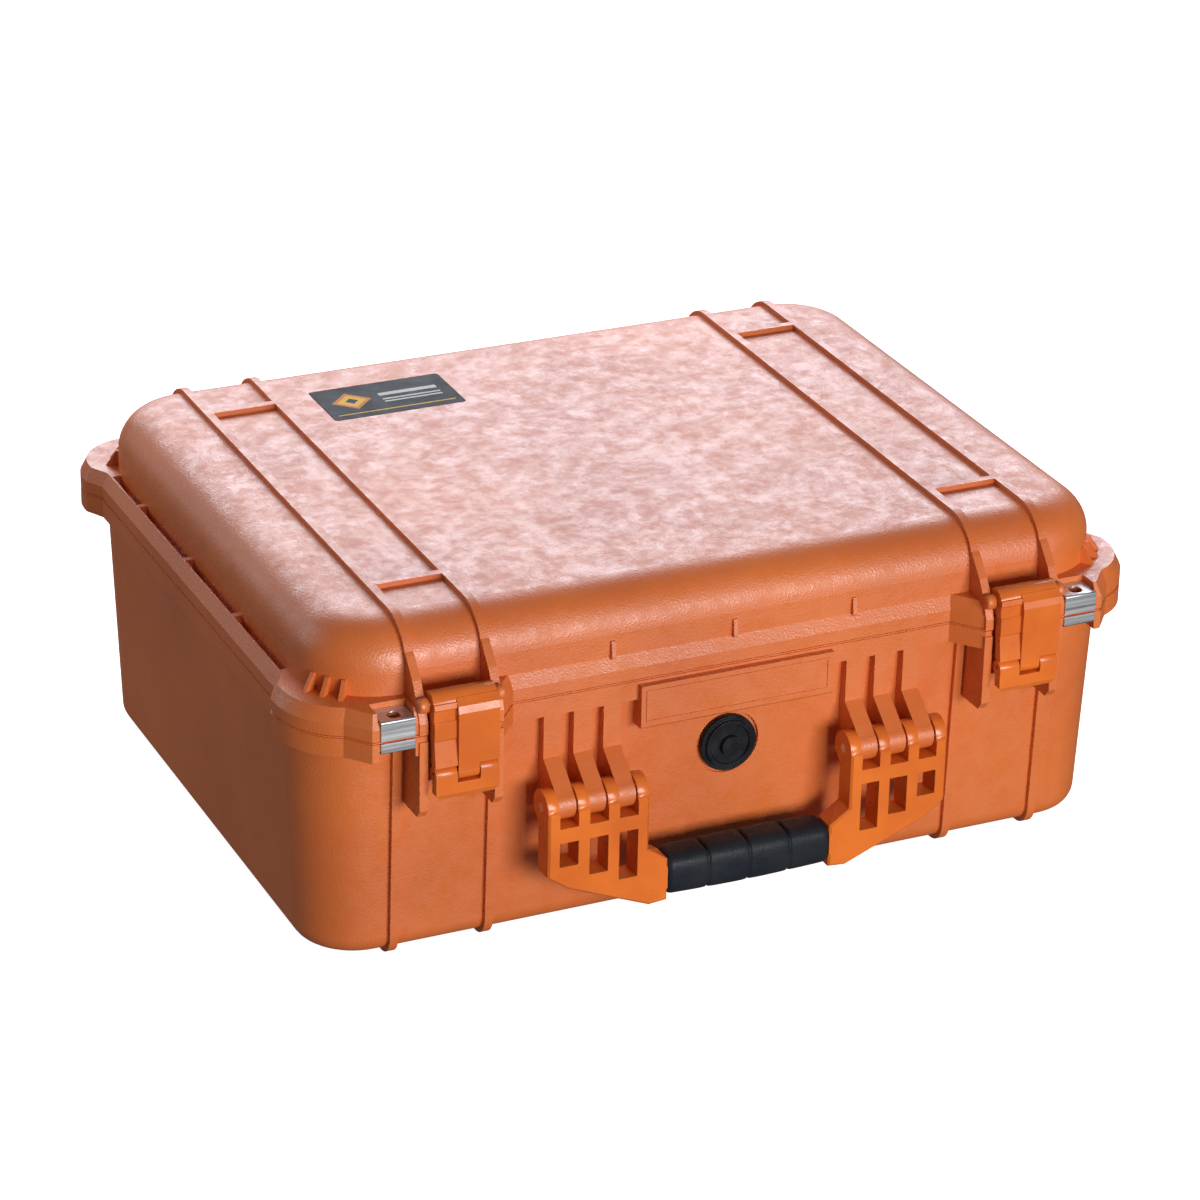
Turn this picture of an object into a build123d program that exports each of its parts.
from build123d import *
import os
from math import atan, cos, degrees, radians, sin, tan

# Hard equipment case: a deep base and a shallow lid, moulded in tough plastic.
# Frame: origin at the centre of the case's underside, +X along the long side,
# -Y towards the latches and handle, +Z up. All lengths are millimetres.

# ---- driving dimensions ----------------------------------------------------
LENGTH = 525.0          # over the corner ears, along X
DEPTH = 437.0           # latch faces to hinge knuckles, along Y
HEIGHT = 208.0          # foot ribs to lid ribs
WALL = 4.5              # moulded wall
RIB_H = 3.0             # height of the long stiffening ribs
RIB_W = 5.0
PARTING_Z = 151.0       # top of the base's rim
PARTING_GAP = 0.3       # between the two rims when shut
RUN = 0.05              # radial clearance of a turning fit

# ---- rims ------------------------------------------------------------------
RIM_X = 256.0                       # half length of the plain rim
RIM_FRONT, RIM_REAR = -191.2, 195.5  # its front and rear edges
EAR_X = LENGTH / 2
EAR_FRONT, EAR_R = -198.0, 42.0     # front corner ears
EAR_REAR, REAR_EAR_R = 208.0, 36.0  # rear corner ears
BAY_FRONT = -208.3                  # front edge of the latch bays
BASE_RIM_Z = 139.0                  # underside of the base's rim
LID_RIM_Z = 167.0                   # top of the lid's rim
SHADOW = 0.8                        # bevel that makes the line where the rims meet
LID_SLOPE_IN, LID_SLOPE_H = 4.0, 8.0  # slope along the lid rim's top edge

# ---- base walls ------------------------------------------------------------
BASE_X, BASE_Y = 254.5, 186.0       # half sizes of the walls at the rim
BASE_R = 42.0                       # upright corners at the rim
DRAFT = 6.0                         # inward lean of each wall, rim to floor
CAVITY_X, CAVITY_Y, CAVITY_R = 246.0, 181.5, 36.0
FLOOR_Z = RIB_H                     # underside of the floor, between the foot ribs
FLOOR_T = 5.5
FLOOR_R = 11.0                      # rounding between floor and walls
FOOT_RIBS_X = (-203.5, -146.0, 146.0, 203.5)

# ---- lid -------------------------------------------------------------------
LID_X, LID_Y = 246.0, 189.5
LID_SHIFT = 2.0                     # the lid's dome sits this far behind the middle
LID_R = 46.0
LID_TOP = HEIGHT - RIB_H
LID_EDGE_R = 25.0
LID_T = 5.0
LID_BOTTOM = PARTING_Z + PARTING_GAP
LID_RIBS_X = (-196.5, -152.0, 152.0, 196.5)
CROSS_RIB_Y = 130.5
LABEL_C = (-85.6, 119.5)
LABEL_W, LABEL_D, LABEL_T, LABEL_R = 84.0, 47.0, 0.6, 2.0
FIN_T, FIN_H = 2.4, 9.5             # small fins between the lid's wall and rim
FRONT_FINS_X = (-75.0, 0.0, 75.0)
EAR_FIN_ANGLES = (26, 38, 50)
CHANNEL_W, CHANNEL_DEPTH = 5.0, 7.0
CHANNEL_ENDS_Y = (-134.0, 150.0)
CHANNEL_WEBS_Y = (-59.0, 22.0, 103.0)

# ---- seal ------------------------------------------------------------------
SEAL_X, SEAL_Y = 250.6, 188.7       # half sizes of the seal's centre line
SEAL_R = 42.0
TONGUE_W, TONGUE_H = 2.6, 3.0
GROOVE_W, GROOVE_H = 4.2, 7.0
SEAL_CLEAR = 0.3                    # seal above the tongue

# ---- hinges ----------------------------------------------------------------
HINGE_R = 8.5
HINGE_Y = DEPTH / 2 - HINGE_R
HINGE_PIN_R = 2.5
HINGE_PITCH = 14.4
HINGE_KNUCKLE_W = 14.0
BAY_X = (LID_RIBS_X[2] + LID_RIBS_X[3]) / 2  # centre of each latch bay and each hinge

# ---- latches ---------------------------------------------------------------
FACE_Y = -DEPTH / 2                 # front of both latches
CHEEK_W = 5.0
BAY_HALF = (LID_RIBS_X[3] - LID_RIBS_X[2] - CHEEK_W) / 2
LATCH_HALF = 18.7
JAW_PIN_Y, JAW_PIN_Z, JAW_PIN_R = -207.5, 168.5, 2.0
JAW_KNUCKLE_R = 7.5
JAW_BACK_Y = -211.8                 # rear face of the jaw's plate
STRIP_BACK = 2.4                    # the jaw's narrow strip lies this far behind its face
LEVER_PIN_Y, LEVER_PIN_Z, LEVER_PIN_R = -213.8, 128.8, 1.5
LEVER_KNUCKLE_R = 4.5
LEVER_BACK_Y = -212.6
LEVER_BOTTOM = 114.5
BAY_BACK_Y = -205.3                 # face of the rims inside a latch bay
LEDGE_Z = 121.0                     # underside of the base's catch
TOE_Z, TOE_TOP_Z = 115.0, 142.0     # the jaw's toe, in front of the catch
CHEEK_Z = 100.0                     # lower end of the base's cheeks
CHEEK_FRONT = -209.5
TONGUE_X = (-5.5, 7.0)              # the jaw's middle tongue
SEAM = 0.5                          # gaps between jaw and lever

# ---- handle ----------------------------------------------------------------
HANDLE_Y, HANDLE_Z = -205.0, 91.0   # pivot
HANDLE_PIN_R = 2.5
HANDLE_BAY_X = 94.0                 # centre of each group of tines
TINE_PITCH, TINE_W = 18.2, 6.8
LUG_W, LUG_R = 10.6, 8.6
TINE_R = 10.2
HANDLE_FRONT, HANDLE_BACK = -216.5, -202.0
GRIP_HALF, GRIP_Z, GRIP_H, GRIP_D = 51.0, 36.5, 27.0, 25.0
GRIP_Y, GRIP_R = -206.0, 9.0
PADS = 4
BAR_H, BAR_D = 15.0, 12.0

# ---- valve and padlock plates ----------------------------------------------
VALVE_Z = 97.5
VALVE_SEAT_Y = -181.5               # floor of the round recess in the front wall
VALVE_BACK_Y = -176.5               # inner face of the wall's boss
VALVE_R, VALVE_STEM_R, VALVE_RECESS_R = 17.2, 9.0, 19.5
SHACKLE_X, SHACKLE_Y, SHACKLE_R = 211.4, -202.4, 4.0
PLATE_W, PLATE_T = 20.0, 1.2
PLATE_BACK_Y = -192.5
PLATE_TOP_Z, PLATE_UNDER_Z = 162.4, 145.4  # seats of the two plates

# ---- foam ------------------------------------------------------------------
FOAM_CLEAR = 1.2
PAD_T = 12.0
LID_FOAM_T = 38.0
POCKET_X, POCKET_Y, POCKET_FLOOR = 150.0, 100.0, 25.0
VALVE_NOTCH = 21.0                  # half size of the notch that clears the valve's nut


def block(x, y, z):
    """Box between pairs of limits."""
    size = [hi - lo for lo, hi in (x, y, z)]
    middle = [(hi + lo) / 2 for lo, hi in (x, y, z)]
    return Pos(*middle) * Box(*size)


def about(middle, half):
    """Limits half a width each side of a middle."""
    return (middle - half, middle + half)


def rod_x(radius, x, y, z):
    """Cylinder along X between two x limits."""
    return Pos((x[0] + x[1]) / 2, y, z) * Rot(0, 90, 0) * Cylinder(radius, x[1] - x[0])


def rod_y(radius, x, y, z):
    """Cylinder along Y between two y limits."""
    return Pos(x, (y[0] + y[1]) / 2, z) * Rot(90, 0, 0) * Cylinder(radius, y[1] - y[0])


def rod_z(radius, x, y, z):
    """Cylinder along Z between two z limits."""
    return Pos(x, y, (z[0] + z[1]) / 2) * Cylinder(radius, z[1] - z[0])


def side_profile(points, x):
    """Outline given as (y, z) points, extruded between two x limits."""
    face = make_face(Polyline([(x[0], py, pz) for py, pz in points], close=True))
    return extrude(face, x[1] - x[0], dir=(1, 0, 0))


def front_profile(points, y):
    """Outline given as (x, z) points, extruded between two y limits."""
    face = make_face(Polyline([(px, y[0], pz) for px, pz in points], close=True))
    return extrude(face, y[1] - y[0], dir=(0, 1, 0))


def seal_ring(width, z):
    """Rounded rectangular ring of one width along the seal's centre line."""
    outer = RectangleRounded(2 * SEAL_X + width, 2 * SEAL_Y + width, SEAL_R + width / 2)
    inner = RectangleRounded(2 * SEAL_X - width, 2 * SEAL_Y - width, SEAL_R - width / 2)
    return extrude(Pos(0, LID_SHIFT, z[0]) * (outer - inner), z[1] - z[0])


def drafted_tub(half_x, half_y, radius, floor_z, top_z, floor_r):
    """Tub leaning inward from its size at the parting line, with a rounded floor edge."""
    lean = degrees(atan(DRAFT / (PARTING_Z - FLOOR_Z)))
    rise = (top_z - PARTING_Z) * tan(radians(lean))
    plan = RectangleRounded(2 * (half_x + rise), 2 * (half_y + rise), radius + rise)
    tub = extrude(Pos(0, 0, top_z) * plan, top_z - floor_z, dir=(0, 0, -1), taper=lean)
    return fillet(tub.edges().group_by(Axis.Z)[0], floor_r)


def outer_tub(grow, floor_z, top_z, floor_r):
    return drafted_tub(BASE_X + grow, BASE_Y + grow, BASE_R + grow, floor_z, top_z, floor_r)


def cavity_tub(grow, floor_z, top_z, floor_r):
    return drafted_tub(CAVITY_X + grow, CAVITY_Y + grow, CAVITY_R + grow, floor_z, top_z, floor_r)


def lid_dome(grow, top_z, edge_r):
    """Rounded slab from the rim to the lid's top."""
    plan = RectangleRounded(2 * (LID_X + grow), 2 * (LID_Y + grow), LID_R + grow)
    dome = extrude(Pos(0, LID_SHIFT, LID_BOTTOM) * plan, top_z - LID_BOTTOM)
    return fillet(dome.edges().group_by(Axis.Z)[-1], edge_r)


def mirrored(half):
    """Closed outline from its right half, listed from the front to the rear."""
    return make_face(Polyline(half + [(-x, y) for x, y in reversed(half)], close=True))


def rim_outline():
    """Plan of both rims: plain sides, corner ears, and in front two bays for the latches and plates."""
    ears = mirrored([
        (190, RIM_FRONT), (190, EAR_FRONT), (EAR_X, EAR_FRONT), (EAR_X, -150), (RIM_X, -138),
        (RIM_X, 155), (EAR_X, 167), (EAR_X, EAR_REAR), (222, EAR_REAR), (214, RIM_REAR),
    ])
    at_end = ears.vertices().filter_by(lambda v: abs(v.X) > EAR_X - 1)
    ears = fillet([v for v in at_end if v.Y < EAR_FRONT + 1], EAR_R)
    at_end = ears.vertices().filter_by(lambda v: abs(v.X) > EAR_X - 1)
    ears = fillet([v for v in at_end if v.Y > EAR_REAR - 1], REAR_EAR_R)
    for side in (-1, 1):
        bay = [(136, RIM_FRONT), (150.5, BAY_FRONT), (226, BAY_FRONT), (241, -190), (241, -180), (136, -180)]
        ears += make_face(Polyline([(side * x, y) for x, y in bay], close=True))
    return ears


def rim(z, grow=0.0):
    """Slab in the rims' plan between two z limits."""
    outline = offset(rim_outline(), grow, kind=Kind.INTERSECTION) if grow else rim_outline()
    return extrude(Pos(0, 0, z[0]) * outline, z[1] - z[0])


def knuckles(offsets):
    """Spans and barrels on the hinge axis, at offsets from each hinge's centre."""
    barrels = []
    for side in (-1, 1):
        for step in offsets:
            span = about(side * BAY_X + step * HINGE_PITCH, HINGE_KNUCKLE_W / 2)
            barrels.append((span, rod_x(HINGE_R, span, HINGE_Y, PARTING_Z)))
    return barrels


def hinge_bores(radius):
    """Bores for both hinge pins."""
    return [rod_x(radius, about(side * BAY_X, 2.5 * HINGE_PITCH), HINGE_Y, PARTING_Z) for side in (-1, 1)]


def plate_span(side, width=PLATE_W):
    return about(side * SHACKLE_X, width / 2)


def tine_centres(side):
    return [side * HANDLE_BAY_X + step * TINE_PITCH for step in (-1.5, -0.5, 0.5, 1.5)]


def lug_centres(side):
    return [side * HANDLE_BAY_X + step * TINE_PITCH for step in (-1, 0, 1)]


# ---- base ------------------------------------------------------------------
def handle_lug(x):
    """Lug that runs down from the rim and ends in a round nose on the handle's pivot."""
    span = about(x, LUG_W / 2)
    web = side_profile(
        [(-176, 145), (RIM_FRONT, 145), (RIM_FRONT, 113), (-204, 103), (-211, 97), (-205, 84), (-173, 78)], span)
    return web + rod_x(LUG_R, span, HANDLE_Y, HANDLE_Z)


def base_cheek(x):
    """Upright wall beside a latch, from the rim down."""
    outline = [
        (-178, CHEEK_Z), (CHEEK_FRONT + 4, CHEEK_Z), (CHEEK_FRONT, CHEEK_Z + 5),
        (CHEEK_FRONT, PARTING_Z - 4), (-178, PARTING_Z - 4)]
    return side_profile(outline, about(x, CHEEK_W / 2))


def name_panel():
    """Blank panel on the front of the rim, with a fine raised frame."""
    panel = block(about(0, 60), (-195.5, -178), (122, PARTING_Z - 2.5))
    panel = chamfer(panel.edges().group_by(Axis.Z)[0].group_by(Axis.Y)[0], 1.2)
    frame = block(about(0, 57), (-196.1, -194), (126, PARTING_Z - 5.5))
    return panel + frame - block(about(0, 56), (-197, -195.5), (127, PARTING_Z - 6.5))


def catch(side):
    """Wall behind a latch; the edge at its foot is what the jaw's toe grips."""
    bay = about(side * BAY_X, BAY_HALF)
    return block(bay, (BAY_BACK_Y, -178), (LEDGE_Z, BASE_RIM_Z + 4))


def make_base():
    shell = outer_tub(0, FLOOR_Z, PARTING_Z, FLOOR_R)
    grown = outer_tub(RIB_H, 0, BASE_RIM_Z + 4, FLOOR_R + RIB_H)
    for x in FOOT_RIBS_X:
        shell += grown & block(about(x, RIB_W / 2), (-230, 230), (-1, BASE_RIM_Z + 4))
    shell += rim((BASE_RIM_Z, PARTING_Z - SHADOW))
    shell += rim((PARTING_Z - SHADOW, PARTING_Z), -SHADOW)
    shell += name_panel()
    for side in (-1, 1):
        for x in lug_centres(side):
            shell += handle_lug(x)
    for x in LID_RIBS_X:
        shell += base_cheek(x)
    for side in (-1, 1):
        shell -= block(about(side * BAY_X, BAY_HALF), (-240, BAY_BACK_Y), (90, 160))
        shell += catch(side)
    for span, barrel in knuckles((-2, 0, 2)):
        arm = [(188, BASE_RIM_Z), (HINGE_Y + 2, PARTING_Z - 8.2), (HINGE_Y + 2, PARTING_Z), (188, PARTING_Z)]
        shell += barrel + side_profile(arm, span)
    shell -= cavity_tub(0, FLOOR_Z + FLOOR_T, PARTING_Z + 5, FLOOR_R - WALL + 2)
    shell += seal_ring(TONGUE_W, (PARTING_Z - 1, PARTING_Z + TONGUE_H))
    shell += rod_y(VALVE_RECESS_R, 0, (VALVE_SEAT_Y, VALVE_BACK_Y), VALVE_Z)
    shell -= rod_y(VALVE_RECESS_R, 0, (-190, VALVE_SEAT_Y), VALVE_Z)
    shell -= rod_y(VALVE_STEM_R + RUN, 0, (-190, -170), VALVE_Z)
    for bore in hinge_bores(HINGE_PIN_R):
        shell -= bore
    for side in (-1, 1):
        pin_span = about(side * HANDLE_BAY_X, 1.5 * TINE_PITCH + TINE_W)
        shell -= rod_x(HANDLE_PIN_R, pin_span, HANDLE_Y, HANDLE_Z)
        shell -= block(plate_span(side, PLATE_W + 1), (-240, PLATE_BACK_Y), (130, PLATE_UNDER_Z))
        shell -= rod_z(SHACKLE_R, side * SHACKLE_X, SHACKLE_Y, (BASE_RIM_Z - 5, PARTING_Z + 5))
    return shell


# ---- lid -------------------------------------------------------------------
def lid_cheek(x):
    """Lid rib leaving the dome to carry one end of a latch pin."""
    outline = [
        (-160, LID_TOP), (-170, 205.2), (-180, 199), (-190, 190), (-199, 179.5), (-206, 168),
        (CHEEK_FRONT, 158), (CHEEK_FRONT, LID_BOTTOM), (-160, LID_BOTTOM)]
    return side_profile(outline, about(x, CHEEK_W / 2))


def fin(x, y, turn, reach):
    """Small upright fin between the lid's wall and its rim, pointing along -Y before turning."""
    top = LID_RIM_Z + FIN_H
    outline = [(1, LID_RIM_Z - 1), (-reach, LID_RIM_Z - 1), (-reach, LID_RIM_Z), (-1.5, top), (1, top)]
    return Pos(x, y, 0) * Rot(0, 0, turn) * side_profile(outline, about(0, FIN_T / 2))


def lid_fins():
    """Fins on the front and rear, and three on each corner ear."""
    front, rear = LID_SHIFT - LID_Y, LID_SHIFT + LID_Y
    fins = [fin(x, front, 0, 3.0) for x in FRONT_FINS_X]
    fins += [fin(x, rear, 180, 3.0) for x in FRONT_FINS_X]
    for side in (-1, 1):
        for end in (-1, 1):
            for angle in EAR_FIN_ANGLES:
                a = radians(angle)
                x = side * (LID_X - LID_R + LID_R * cos(a))
                y = LID_SHIFT + end * (LID_Y - LID_R + LID_R * sin(a))
                turn = side * (90 - angle)
                fins.append(fin(x, y, turn if end < 0 else 180 - turn, 8.0))
    return fins


def end_channels():
    """Channel between each end wall and the rim, bridged by three webs."""
    stops = [CHANNEL_ENDS_Y[0]]
    for y in CHANNEL_WEBS_Y:
        stops += about(y, 2)
    stops.append(CHANNEL_ENDS_Y[1])
    cuts = []
    for side in (-1, 1):
        x = sorted((side * LID_X, side * (LID_X + CHANNEL_W)))
        for span in zip(stops[::2], stops[1::2]):
            cuts.append(block(x, span, (LID_RIM_Z - CHANNEL_DEPTH, LID_RIM_Z + 1)))
    return cuts


def lid_rim():
    """Lid's rim with a slope along its top edge and a rebate along its lower one."""
    plate = rim((LID_BOTTOM + SHADOW, LID_RIM_Z))
    plate = chamfer(plate.edges().group_by(Axis.Z)[-1], LID_SLOPE_H, LID_SLOPE_IN)
    return plate + rim((LID_BOTTOM, LID_BOTTOM + SHADOW), -SHADOW)


def make_lid():
    shell = lid_dome(0, LID_TOP, LID_EDGE_R)
    grown = lid_dome(RIB_H, HEIGHT, LID_EDGE_R + RIB_H)
    for x in LID_RIBS_X:
        shell += grown & block(about(x, RIB_W / 2), (-230, 230), (LID_RIM_Z - 4, 220))
        shell += lid_cheek(x)
    for inner, outer in (LID_RIBS_X[:2], LID_RIBS_X[2:]):
        for y in (-CROSS_RIB_Y, CROSS_RIB_Y):
            shell += grown & block((inner, outer), about(y, RIB_W / 2), (200, 220))
    shell += lid_rim()
    for piece in lid_fins():
        shell += piece
    for side in (-1, 1):
        bay = about(side * BAY_X, BAY_HALF)
        shell -= block(bay, (-240, BAY_BACK_Y), (150, 200))
        shell -= block(bay, (-240, -198.5), (LID_BOTTOM + 7.5, 190))
        shell -= block(plate_span(side, PLATE_W + 1), (-240, PLATE_BACK_Y), (PLATE_TOP_Z, 172))
    for span, barrel in knuckles((-1, 1)):
        arm = [(187, LID_BOTTOM), (HINGE_Y, LID_BOTTOM), (HINGE_Y, PARTING_Z + 8), (190, LID_RIM_Z)]
        shell += barrel + side_profile(arm, span)
    for cut in end_channels():
        shell -= cut
    shell -= lid_dome(-WALL, LID_TOP - LID_T, LID_EDGE_R - WALL)
    shell -= seal_ring(GROOVE_W, (LID_BOTTOM - 1, LID_BOTTOM + GROOVE_H))
    shell -= label_plate(0.5, 2 * LABEL_T)
    for bore in hinge_bores(HINGE_PIN_R + RUN):
        shell -= bore
    for side in (-1, 1):
        shell -= rod_x(JAW_PIN_R, about(side * BAY_X, BAY_HALF + CHEEK_W + 1), JAW_PIN_Y, JAW_PIN_Z)
        shell -= rod_z(SHACKLE_R, side * SHACKLE_X, SHACKLE_Y, (LID_BOTTOM - 5, LID_RIM_Z + 5))
    return shell


def label_plate(grow, thickness):
    """Rounded plate centred on the lid's top surface."""
    plan = RectangleRounded(LABEL_W + 2 * grow, LABEL_D + 2 * grow, LABEL_R + grow)
    return extrude(Pos(*LABEL_C, LID_TOP - thickness / 2) * plan, thickness)


# ---- latches ---------------------------------------------------------------
def make_jaw(bay_x):
    """Latch jaw: hangs from the lid's pin and grips below the base's catch."""
    full = about(bay_x, LATCH_HALF)
    tongue = (bay_x + TONGUE_X[0], bay_x + TONGUE_X[1])
    low = LEVER_PIN_Z + LEVER_KNUCKLE_R + SEAM
    strip_y = FACE_Y + STRIP_BACK
    strip = [
        (JAW_BACK_Y, low), (FACE_Y + 0.8, low), (strip_y + 0.6, 149), (strip_y, 150), (strip_y, 160),
        (strip_y + 1, 161), (strip_y + 1, 167), (strip_y, 168), (strip_y + 0.6, 171), (JAW_PIN_Y, 172)]
    face = [(JAW_BACK_Y, low), (FACE_Y, low), (FACE_Y, 165), (FACE_Y + 1.2, 169), (-214, 173), (JAW_PIN_Y, 172)]
    jaw = side_profile(strip, full) + side_profile(face, (tongue[0], full[1]))
    jaw += rod_x(JAW_KNUCKLE_R, full, JAW_PIN_Y, JAW_PIN_Z)
    jaw += rod_x(LEVER_KNUCKLE_R, tongue, LEVER_PIN_Y, LEVER_PIN_Z)
    jaw += block(tongue, (FACE_Y + 0.3, JAW_BACK_Y), (LEVER_PIN_Z, low + 1))
    toe = [
        (-211.4, TOE_Z), (-205.9, TOE_Z), (-205.9, TOE_Z + 3.5), (-207.8, TOE_Z + 5.5), (-207.8, TOE_TOP_Z),
        (-206.1, TOE_TOP_Z + 6), (-206.1, 163), (JAW_BACK_Y, 163), (JAW_BACK_Y, TOE_TOP_Z), (-211.4, TOE_TOP_Z)]
    jaw += side_profile(toe, tongue)
    through = (full[0] - 1, full[1] + 1)
    jaw -= rod_x(JAW_PIN_R + RUN, through, JAW_PIN_Y, JAW_PIN_Z)
    return jaw - rod_x(LEVER_PIN_R, through, LEVER_PIN_Y, LEVER_PIN_Z)


def make_lever(bay_x):
    """Latch lever: lower half of the latch, pinned to the jaw's tongue."""
    full = about(bay_x, LATCH_HALF)
    top = LEVER_PIN_Z - LEVER_KNUCKLE_R - SEAM
    plan = [
        (full[0], top), (full[0], LEVER_BOTTOM + 3), (full[0] + 3, LEVER_BOTTOM),
        (full[1] - 3, LEVER_BOTTOM), (full[1], LEVER_BOTTOM + 3), (full[1], top)]
    side = [
        (LEVER_BACK_Y, top), (FACE_Y, top), (FACE_Y, LEVER_BOTTOM + 3), (FACE_Y + 1.5, LEVER_BOTTOM),
        (LEVER_BACK_Y, LEVER_BOTTOM)]
    lever = front_profile(plan, (FACE_Y, LEVER_BACK_Y)) & side_profile(side, full)
    for span in ((full[0], bay_x + TONGUE_X[0] - SEAM), (bay_x + TONGUE_X[1] + SEAM, full[1])):
        lever += rod_x(LEVER_KNUCKLE_R, span, LEVER_PIN_Y, LEVER_PIN_Z)
        lever += block(span, (FACE_Y, LEVER_BACK_Y), (top - 1, LEVER_PIN_Z))
    return lever - rod_x(LEVER_PIN_R + RUN, (full[0] - 1, full[1] + 1), LEVER_PIN_Y, LEVER_PIN_Z)


# ---- handle ----------------------------------------------------------------
def make_handle_frame():
    """Handle frame: four tines on each side, joined by the bar that the grip covers."""
    outer_x = HANDLE_BAY_X + 1.5 * TINE_PITCH + TINE_W / 2
    inner_x = HANDLE_BAY_X - 1.5 * TINE_PITCH - TINE_W / 2
    half = [
        (0, GRIP_Z - BAR_H / 2), (GRIP_HALF, GRIP_Z - BAR_H / 2), (GRIP_HALF, 22.5), (62, 21.5),
        (112, 42), (outer_x, 51), (outer_x, HANDLE_Z), (inner_x, HANDLE_Z), (inner_x, 57),
        (GRIP_HALF, 48.5), (GRIP_HALF, GRIP_Z + BAR_H / 2), (0, GRIP_Z + BAR_H / 2),
    ]
    points = half + [(-px, pz) for px, pz in reversed(half[1:-1])]
    frame = front_profile(points, (HANDLE_FRONT, HANDLE_BACK))
    frame = chamfer(frame.edges().group_by(Axis.Y)[0], 1.2)
    for side in (-1, 1):
        for x in tine_centres(side):
            frame += rod_x(TINE_R, about(x, TINE_W / 2), HANDLE_Y, HANDLE_Z)
    slot = (TINE_PITCH - TINE_W) / 2
    for side in (-1, 1):
        for x in lug_centres(side):
            frame -= block(about(x, slot), (-230, -190), (HANDLE_Z - LUG_R - 1.5, HANDLE_Z + 20))
            low = 57 if abs(x) > 105 else 49 if abs(x) > 85 else 42
            frame -= block(about(x, slot), (-230, -190), (low, 72))
        pin_span = about(side * HANDLE_BAY_X, 1.5 * TINE_PITCH + TINE_W)
        frame -= rod_x(HANDLE_PIN_R + RUN, pin_span, HANDLE_Y, HANDLE_Z)
    for y in ((-230, GRIP_Y - BAR_D / 2), (GRIP_Y + BAR_D / 2, -190)):
        frame -= block(about(0, GRIP_HALF), y, (0, 100))
    return frame


def make_grip():
    """Rubber grip moulded over the bar, in four pads with a finger groove between each pair."""
    section = Plane.YZ * RectangleRounded(GRIP_D, GRIP_H, GRIP_R)
    grip = Pos(-GRIP_HALF, GRIP_Y, GRIP_Z) * extrude(section, 2 * GRIP_HALF)
    ends = grip.edges().group_by(Axis.X)
    grip = chamfer(ends[0] + ends[-1], 2.5)
    groove = Plane.YZ * (Rectangle(GRIP_D + 2, GRIP_H + 2) - RectangleRounded(GRIP_D - 2, GRIP_H - 2, GRIP_R - 1))
    for step in range(1, PADS):
        x = -GRIP_HALF + step * 2 * GRIP_HALF / PADS
        grip -= Pos(x - 0.7, GRIP_Y, GRIP_Z) * extrude(groove, 1.4)
    return grip - block(about(0, GRIP_HALF), about(GRIP_Y, BAR_D / 2), about(GRIP_Z, BAR_H / 2))


# ---- small pieces ----------------------------------------------------------
def folded_plate(side, seat_z, outer_z, end_z):
    """Stainless padlock plate: a flat on a rim, folded down or up over the rim's front edge."""
    front_y = (BAY_FRONT - PLATE_T, BAY_FRONT)
    flat = block(plate_span(side), (front_y[0], PLATE_BACK_Y), sorted((seat_z, outer_z)))
    front = block(plate_span(side), front_y, sorted((seat_z, end_z)))
    plate = flat + front
    outside = 1 if outer_z > seat_z else -1
    bend = plate.edges().filter_by(Axis.X).sort_by(lambda e: e.center().Y - outside * e.center().Z)[0]
    plate = fillet(bend, PLATE_T - 0.1)
    return plate - rod_z(SHACKLE_R, side * SHACKLE_X, SHACKLE_Y, (130, 180))


def make_valve():
    """Pressure valve: body with its stem through the wall, cap, seal ring and nut."""
    seat, back = VALVE_SEAT_Y, VALVE_BACK_Y
    body = rod_y(VALVE_R, 0, (seat - 4.5, seat - 1.2), VALVE_Z)
    body += rod_y(VALVE_R - 2.5, 0, (seat - 6.5, seat - 4.5), VALVE_Z)
    body += rod_y(VALVE_STEM_R, 0, (seat - 2, back + 6.5), VALVE_Z)
    body -= rod_y(VALVE_R - 5, 0, (seat - 8, seat - 3.2), VALVE_Z)
    body -= rod_y(4.0, 0, (seat - 4, back + 8), VALVE_Z)
    cap = rod_y(VALVE_R - 5.3, 0, (seat - 5.6, seat - 3.2), VALVE_Z)
    cap += rod_y(6.0, 0, (seat - 9, seat - 5.6), VALVE_Z)
    ring_seal = rod_y(13.5, 0, (seat - 1.2, seat), VALVE_Z) - rod_y(10.5, 0, (seat - 2, seat + 1), VALVE_Z)
    nut = rod_y(13.0, 0, (back, back + 4), VALVE_Z) - rod_y(VALVE_STEM_R, 0, (back - 2, back + 6), VALVE_Z)
    membrane = rod_y(4.0, 0, (back + 4.5, back + 5.5), VALVE_Z)
    return {"valve_body": body, "valve_cap": cap, "valve_seal_ring": ring_seal,
            "valve_nut": nut, "valve_membrane": membrane}


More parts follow.
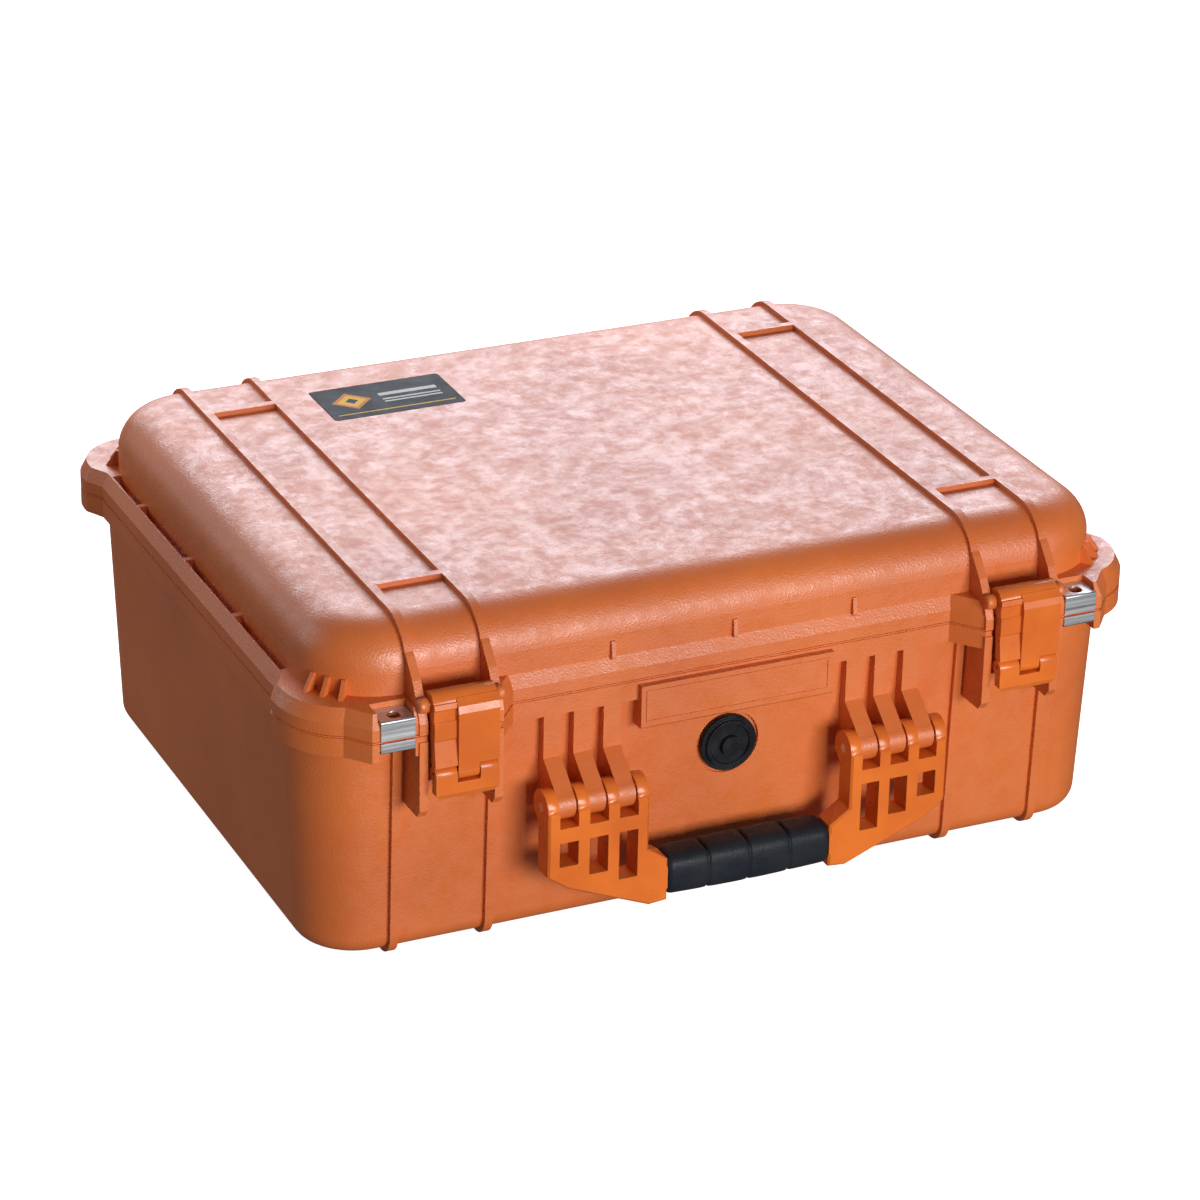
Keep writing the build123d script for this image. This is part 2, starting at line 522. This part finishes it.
def make_foam():
    """Foam: floor pad and cubed block in the base, sheet in the lid."""
    floor = FLOOR_Z + FLOOR_T
    tub = cavity_tub(-FOAM_CLEAR, floor, PARTING_Z - 2, FLOOR_R - WALL + 1)
    pad_top = floor + PAD_T
    everywhere = about(0, 300)
    pad = tub & block(everywhere, everywhere, (0, pad_top))
    cubes = tub & block(everywhere, everywhere, (pad_top, 200))
    cubes -= block(about(0, POCKET_X), about(0, POCKET_Y), (pad_top + POCKET_FLOOR, 200))
    cubes -= block(about(0, VALVE_NOTCH), (-200, -163), (VALVE_Z - VALVE_NOTCH, 200))
    top = LID_TOP - LID_T
    lid_sheet = lid_dome(-WALL - FOAM_CLEAR, top, LID_EDGE_R - WALL)
    lid_sheet &= block(everywhere, everywhere, (top - LID_FOAM_T, 250))
    return {"foam_base_pad": pad, "foam_cube_block": cubes, "foam_lid_sheet": lid_sheet}


def make_pins():
    """Steel pins of the hinges, handle and latches."""
    pins = {}
    for name, side in (("left", -1), ("right", 1)):
        hinge = about(side * BAY_X, HINGE_PITCH * 2 + HINGE_KNUCKLE_W / 2)
        pins["hinge_pin_" + name] = rod_x(HINGE_PIN_R, hinge, HINGE_Y, PARTING_Z)
        tines = about(side * HANDLE_BAY_X, 1.5 * TINE_PITCH + TINE_W / 2)
        pins["handle_pin_" + name] = rod_x(HANDLE_PIN_R, tines, HANDLE_Y, HANDLE_Z)
        cheeks = about(side * BAY_X, BAY_HALF + CHEEK_W)
        pins["jaw_pin_" + name] = rod_x(JAW_PIN_R, cheeks, JAW_PIN_Y, JAW_PIN_Z)
        latch = about(side * BAY_X, LATCH_HALF - 1)
        pins["lever_pin_" + name] = rod_x(LEVER_PIN_R, latch, LEVER_PIN_Y, LEVER_PIN_Z)
    return pins


def make_parts():
    parts = {"base_shell": make_base(), "lid_shell": make_lid()}
    parts["lid_seal"] = seal_ring(
        GROOVE_W - 0.2, (PARTING_Z + TONGUE_H + SEAL_CLEAR, LID_BOTTOM + GROOVE_H))
    parts["lid_label"] = Pos(0, 0, -LABEL_T / 2) * label_plate(0, LABEL_T)
    for name, side in (("left", -1), ("right", 1)):
        parts["latch_jaw_" + name] = make_jaw(side * BAY_X)
        parts["latch_lever_" + name] = make_lever(side * BAY_X)
        parts["padlock_plate_upper_" + name] = folded_plate(
            side, PLATE_TOP_Z, PLATE_TOP_Z + PLATE_T, LID_BOTTOM + 0.6)
        parts["padlock_plate_lower_" + name] = folded_plate(
            side, PLATE_UNDER_Z, PLATE_UNDER_Z - PLATE_T, PARTING_Z - 0.6)
    parts["handle_frame"] = make_handle_frame()
    parts["handle_grip"] = make_grip()
    parts.update(make_pins())
    parts.update(make_valve())
    parts.update(make_foam())
    return parts


os.makedirs("parts", exist_ok=True)
for node, shape in make_parts().items():
    export_step(shape, f"parts/{node}.step")
